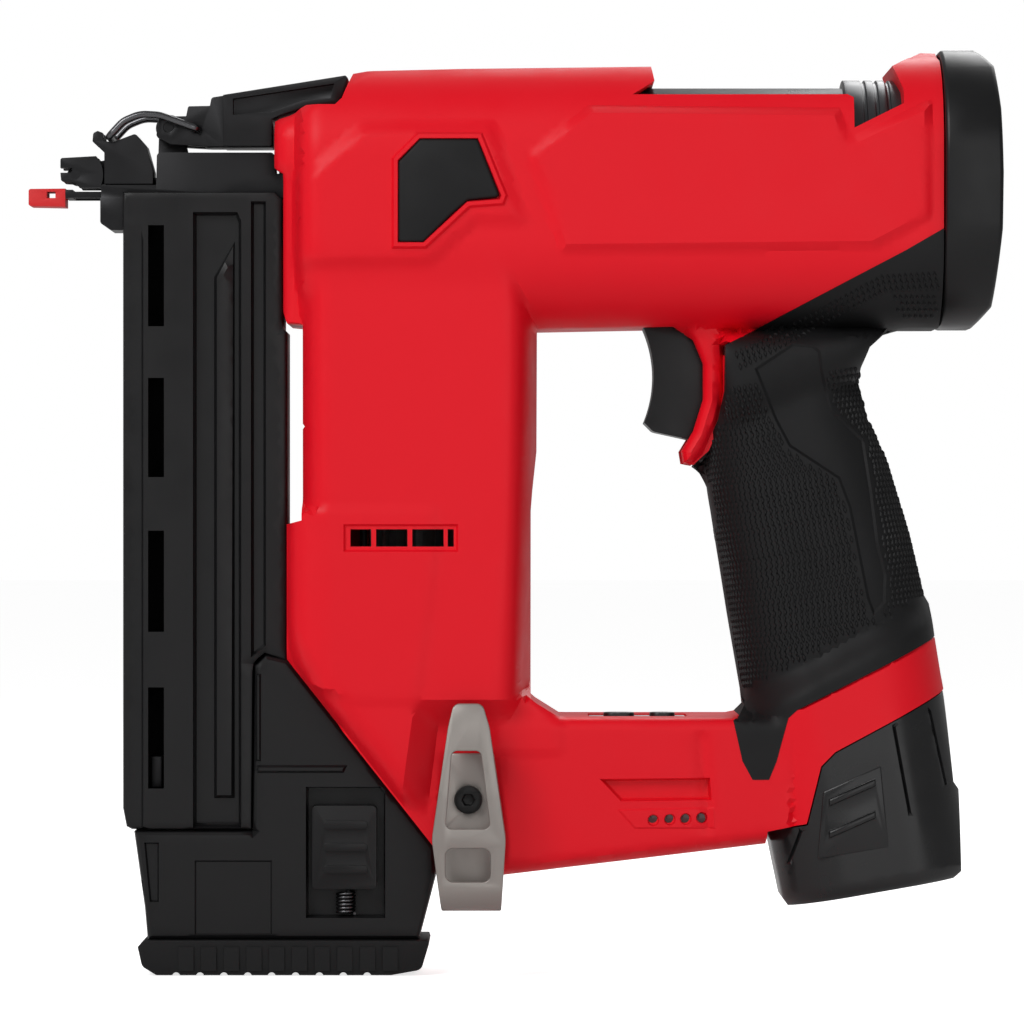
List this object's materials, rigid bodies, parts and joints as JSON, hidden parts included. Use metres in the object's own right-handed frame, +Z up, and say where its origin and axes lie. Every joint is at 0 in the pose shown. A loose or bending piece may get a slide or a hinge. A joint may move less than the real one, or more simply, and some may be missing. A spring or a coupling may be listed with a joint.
{
  "type": "cordless brad nailer",
  "caption": "Compact battery-powered brad nailer with a side-loading magazine, flip-open nose, trigger grip, belt hook and gas-spring drive.",
  "frame": {"origin": "tip of the work contact on the drive axis", "axes": "+X runs back along the drive axis to the end cap, +Z up and away from the magazine, -Y the side with the belt hook"},
  "size_m": [0.2444, 0.0704, 0.233],
  "materials": {
    "shell_red": "satin glass-filled nylon",
    "rubber_black": "matte moulded",
    "plastic_black": "fine texture",
    "panel_grey": "satin",
    "button_black": "smooth",
    "lamp_clear": "tinted lens",
    "hook_metal": "warm grey powder coat",
    "screw_black": "black oxide",
    "screw_steel": "zinc plated",
    "insert_brass": "knurled",
    "cylinder_grey": "dark anodised",
    "aluminium_cast": "die cast",
    "bumper_orange": "moulded",
    "seal_black": "smooth",
    "steel_hard": "ground",
    "steel_dark": "black oxide",
    "motor_steel": "laminated",
    "case_grey": "machined",
    "spring_steel": "bright wire",
    "tip_red": "soft pad",
    "board_green": "coated board",
    "cell_blue": "sleeved cell",
    "battery_grey": "smoky semi-gloss",
    "clear_fan": "moulded"
  },
  "bodies": {
    "tool": {"housing_left": "shell_red", "housing_right": "shell_red", "grip_sleeve": "rubber_black", "end_cap": "plastic_black", "side_pads": "rubber_black", "housing_screws": "screw_black", "control_panel": "panel_grey", "charge_lamps": "lamp_clear", "belt_hook": "hook_metal", "hook_screw": "screw_black", "hook_inserts": "insert_brass", "gas_cylinder": "cylinder_grey", "cylinder_plate": "aluminium_cast", "bumper": "bumper_orange", "drive_cylinder": "aluminium_cast", "gear_case": "case_grey", "ring_gear": "motor_steel", "stator": "motor_steel", "motor_mount": "case_grey", "motor_bearings": "steel_hard", "nose_frame": "steel_dark", "nose_pins": "steel_hard", "magazine_rail": "aluminium_cast", "contact_spring": "spring_steel", "trigger_switch": "plastic_black", "trigger_spring": "spring_steel", "control_board": "board_green", "terminal_block": "plastic_black"},
    "mode_button": {"mode_button": "button_black"},
    "light_button": {"light_button": "button_black"},
    "driver": {"piston": "aluminium_cast", "piston_seal": "seal_black", "driver_blade": "steel_hard"},
    "lifter": {"lifter_wheel": "steel_hard", "lifter_pins": "steel_hard"},
    "planet_1": {"planet_gear_1": "steel_hard"},
    "planet_2": {"planet_gear_2": "steel_hard"},
    "planet_3": {"planet_gear_3": "steel_hard"},
    "rotor": {"rotor": "motor_steel", "motor_shaft": "steel_hard", "sun_gear": "steel_hard", "motor_fan": "clear_fan"},
    "door": {"nose_door": "steel_dark"},
    "lever": {"latch_lever": "steel_dark"},
    "bail": {"wire_bail": "spring_steel"},
    "contact": {"work_contact": "steel_dark", "contact_tip": "tip_red"},
    "magazine": {"magazine_cover": "plastic_black", "magazine_base": "plastic_black", "magazine_sole": "rubber_black", "latch_spring": "spring_steel", "pusher_spring": "spring_steel"},
    "magazine_latch": {"magazine_latch": "plastic_black"},
    "pusher": {"nail_pusher": "steel_hard"},
    "trigger": {"trigger": "plastic_black"},
    "battery": {"battery_case": "battery_grey", "battery_stem": "battery_grey", "battery_cells": "cell_blue"},
    "battery_tab_left": {"battery_tab_left": "battery_grey"},
    "battery_tab_right": {"battery_tab_right": "battery_grey"}
  },
  "joints": [
    {"name": "rotor_spin", "type": "hinge", "parent": "tool", "child": "rotor", "pos_m": [0.098, 0.01209, -0.06], "axis": [0, 0, -1], "range_deg": [0, 1620]},
    {"name": "lifter_spin", "type": "hinge", "parent": "tool", "child": "lifter", "pos_m": [0.098, 0.01209, 0], "axis": [0, 0, -1], "range_deg": [0, 360.2]},
    {"name": "driver_slide", "type": "slide", "parent": "tool", "child": "driver", "axis": [-1, 0, 0], "range_m": [0, 0.05525]},
    {"name": "planet_1_spin", "type": "hinge", "parent": "lifter", "child": "planet_1", "pos_m": [0.1061, 0.01209, -0.033], "axis": [0, 0, -1], "range_deg": [-1009, 0]},
    {"name": "planet_2_spin", "type": "hinge", "parent": "lifter", "child": "planet_2", "pos_m": [0.09395, 0.0191, -0.033], "axis": [0, 0, -1], "range_deg": [-1009, 0]},
    {"name": "planet_3_spin", "type": "hinge", "parent": "lifter", "child": "planet_3", "pos_m": [0.09395, 0.00507, -0.033], "axis": [0, 0, -1], "range_deg": [-1009, 0]},
    {"name": "lever_swing", "type": "hinge", "parent": "tool", "child": "lever", "pos_m": [0.0355, 0, 0.017], "axis": [0, -1, 0], "range_deg": [0, 100]},
    {"name": "bail_swing", "type": "hinge", "parent": "lever", "child": "bail", "pos_m": [0.043, 0, 0.0165], "axis": [0, -1, 0], "range_deg": [-100.1, 0]},
    {"name": "door_swing", "type": "hinge", "parent": "tool", "child": "door", "pos_m": [0.012, 0, 0.005], "axis": [0, -1, 0], "range_deg": [0, 40.1]},
    {"name": "contact_press", "type": "slide", "parent": "tool", "child": "contact", "axis": [1, 0, 0], "range_m": [0, 0.007], "stiffness_N_per_m": 600, "springref_m": -0.005, "deforming": ["contact_spring"]},
    {"name": "magazine_slide", "type": "slide", "parent": "tool", "child": "magazine", "axis": [0, 0, -1], "range_m": [0, 0.11]},
    {"name": "magazine_latch_press", "type": "slide", "parent": "magazine", "child": "magazine_latch", "axis": [0, 0, -1], "range_m": [0, 0.005], "stiffness_N_per_m": 500, "springref_m": -0.002, "deforming": ["latch_spring"]},
    {"name": "pusher_slide", "type": "slide", "parent": "magazine", "child": "pusher", "axis": [0, 0, 1], "range_m": [0, 0.13]},
    {"name": "trigger_press", "type": "slide", "parent": "tool", "child": "trigger", "axis": [0.9848, 0, 0.1736], "range_m": [0, 0.005], "stiffness_N_per_m": 900, "springref_m": -0.003, "deforming": ["trigger_spring"]},
    {"name": "mode_press", "type": "slide", "parent": "tool", "child": "mode_button", "axis": [0, 0, -1], "range_m": [0, 0.0008], "stiffness_N_per_m": 1200, "springref_m": -0.0004},
    {"name": "light_press", "type": "slide", "parent": "tool", "child": "light_button", "axis": [0, 0, -1], "range_m": [0, 0.0008], "stiffness_N_per_m": 1200, "springref_m": -0.0004},
    {"name": "battery_slide", "type": "slide", "parent": "tool", "child": "battery", "axis": [0.1736, 0, -0.9848], "range_m": [0, 0.08]},
    {"name": "tab_left_press", "type": "slide", "parent": "battery", "child": "battery_tab_left", "axis": [0, 1, 0], "range_m": [0, 0.0015], "stiffness_N_per_m": 800, "springref_m": -0.001},
    {"name": "tab_right_press", "type": "slide", "parent": "battery", "child": "battery_tab_right", "axis": [0, -1, 0], "range_m": [0, 0.0015], "stiffness_N_per_m": 800, "springref_m": -0.001}
  ],
  "couplings": [
    {"joint": "lifter_spin", "follows": "rotor_spin", "ratio": 0.22222},
    {"joint": "driver_slide", "follows": "rotor_spin", "m_per_rad": 0.0019523},
    {"joint": "planet_1_spin", "follows": "rotor_spin", "ratio": -0.62222},
    {"joint": "planet_2_spin", "follows": "rotor_spin", "ratio": -0.62222},
    {"joint": "planet_3_spin", "follows": "rotor_spin", "ratio": -0.62222},
    {"joint": "bail_swing", "follows": "lever_swing", "ratio": -1},
    {"joint": "door_swing", "follows": "lever_swing", "ratio": 0.4}
  ]
}
